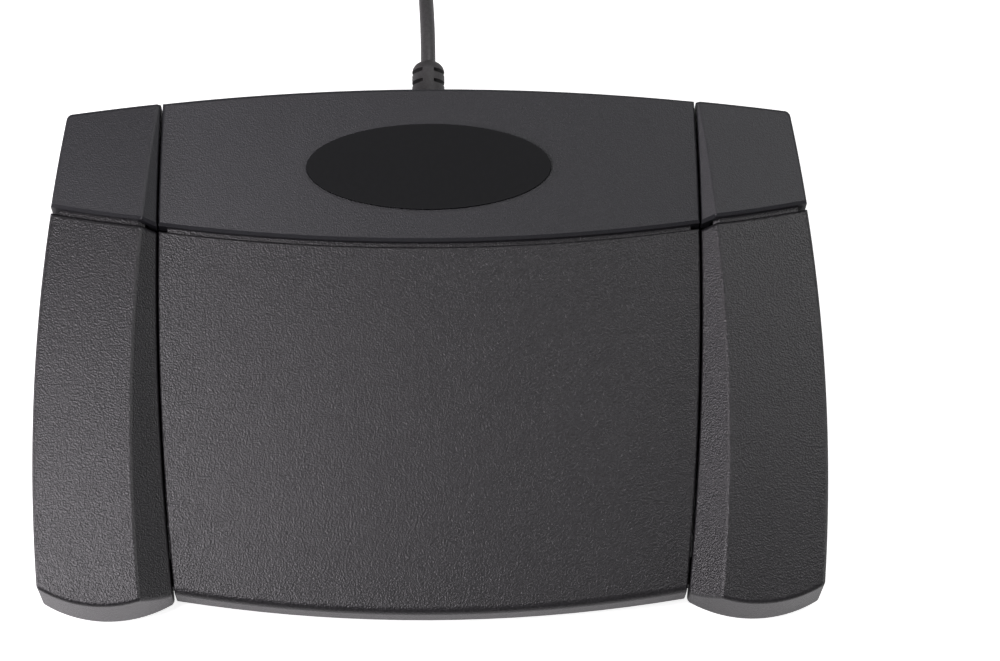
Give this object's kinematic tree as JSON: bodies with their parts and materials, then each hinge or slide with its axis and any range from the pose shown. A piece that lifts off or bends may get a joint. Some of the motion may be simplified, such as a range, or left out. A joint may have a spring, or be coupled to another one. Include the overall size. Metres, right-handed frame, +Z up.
{
  "type": "usb foot pedal switch",
  "caption": "Desk foot switch: a wide middle treadle between bevelled side treadles on one hinge rod, with rear covers, bare oval badge, corded USB plug.",
  "frame": {"origin": "centre of the housing's footprint on the floor, under its rubber feet, the cord left out", "axes": "+X to the right treadle, +Y to the rear where the cord leaves, +Z up"},
  "size_m": [0.23, 0.3002, 0.0421],
  "materials": {
    "cover_plastic": "charcoal moulded plastic, fine satin grain",
    "pedal_plastic": "charcoal moulded plastic, coarse spark-eroded grain",
    "badge_plastic": "near-black gloss plate, bare",
    "tray_plastic": "charcoal moulded plastic, plain",
    "ballast_steel": "zinc-plated sheet steel",
    "foot_rubber": "black rubber pad",
    "stop_rubber": "soft dark rubber",
    "rod_steel": "ground steel rod",
    "ring_steel": "blackened spring steel",
    "spring_steel": "drawn spring wire",
    "board_laminate": "green solder mask",
    "terminal_metal": "plated contact metal",
    "chip_plastic": "moulded black package",
    "component_metal": "metal cans",
    "connector_plastic": "off-white nylon",
    "screw_steel": "zinc-plated screws",
    "switch_plastic": "black switch case",
    "plunger_plastic": "red acetal",
    "relief_rubber": "dark grey soft vinyl",
    "clamp_plastic": "dark nylon",
    "cord_rubber": "dark grey satin vinyl jacket",
    "plug_plastic": "black satin overmould",
    "plug_nickel": "nickel-plated folded steel",
    "tongue_plastic": "white insulator"
  },
  "bodies": {
    "housing": {"rear_cover": "cover_plastic", "left_rear_cap": "cover_plastic", "right_rear_cap": "cover_plastic", "oval_badge": "badge_plastic", "base_tray": "tray_plastic", "ballast_plate": "ballast_steel", "rubber_feet": "foot_rubber", "bump_stops": "stop_rubber", "hinge_rod": "rod_steel", "retaining_rings": "ring_steel", "center_springs": "spring_steel", "left_spring": "spring_steel", "right_spring": "spring_steel", "circuit_board": "board_laminate", "switch_terminals": "terminal_metal", "controller_chip": "chip_plastic", "board_components": "component_metal", "board_connector": "connector_plastic", "board_screws": "screw_steel", "housing_screws": "screw_steel", "left_switch": "switch_plastic", "center_switch": "switch_plastic", "right_switch": "switch_plastic", "strain_relief": "relief_rubber", "cable_clamp": "clamp_plastic", "clamp_screws": "screw_steel", "cable_tail": "cord_rubber", "usb_cord": "cord_rubber", "usb_cord_coil": "cord_rubber", "usb_cord_tail": "cord_rubber", "plug_relief": "plug_plastic", "plug_housing": "plug_plastic", "plug_shell": "plug_nickel", "plug_tongue": "tongue_plastic", "plug_contacts": "terminal_metal"},
    "center_pedal": {"center_pedal": "pedal_plastic"},
    "left_pedal": {"left_pedal": "pedal_plastic"},
    "right_pedal": {"right_pedal": "pedal_plastic"},
    "center_plunger": {"center_plunger": "plunger_plastic"},
    "left_plunger": {"left_plunger": "plunger_plastic"},
    "right_plunger": {"right_plunger": "plunger_plastic"}
  },
  "joints": [
    {"name": "center_hinge", "type": "hinge", "parent": "housing", "child": "center_pedal", "pos_m": [0, 0.048, 0.024], "axis": [1, 0, 0], "range_deg": [0, 2.5], "stiffness_Nm_per_rad": 6, "springref_deg": -3.44, "deforming": ["center_springs"]},
    {"name": "left_hinge", "type": "hinge", "parent": "housing", "child": "left_pedal", "pos_m": [0, 0.048, 0.024], "axis": [1, 0, 0], "range_deg": [0, 2.5], "stiffness_Nm_per_rad": 3, "springref_deg": -3.44, "deforming": ["left_spring"]},
    {"name": "right_hinge", "type": "hinge", "parent": "housing", "child": "right_pedal", "pos_m": [0, 0.048, 0.024], "axis": [1, 0, 0], "range_deg": [0, 2.5], "stiffness_Nm_per_rad": 3, "springref_deg": -3.44, "deforming": ["right_spring"]},
    {"name": "center_plunger_slide", "type": "slide", "parent": "housing", "child": "center_plunger", "axis": [0, 0, -1], "range_m": [0, 0.0014]},
    {"name": "left_plunger_slide", "type": "slide", "parent": "housing", "child": "left_plunger", "axis": [0, 0, -1], "range_m": [0, 0.0014]},
    {"name": "right_plunger_slide", "type": "slide", "parent": "housing", "child": "right_plunger", "axis": [0, 0, -1], "range_m": [0, 0.0014]}
  ],
  "couplings": [
    {"joint": "center_plunger_slide", "follows": "center_hinge", "m_per_rad": 0.03},
    {"joint": "left_plunger_slide", "follows": "left_hinge", "m_per_rad": 0.03},
    {"joint": "right_plunger_slide", "follows": "right_hinge", "m_per_rad": 0.03}
  ]
}
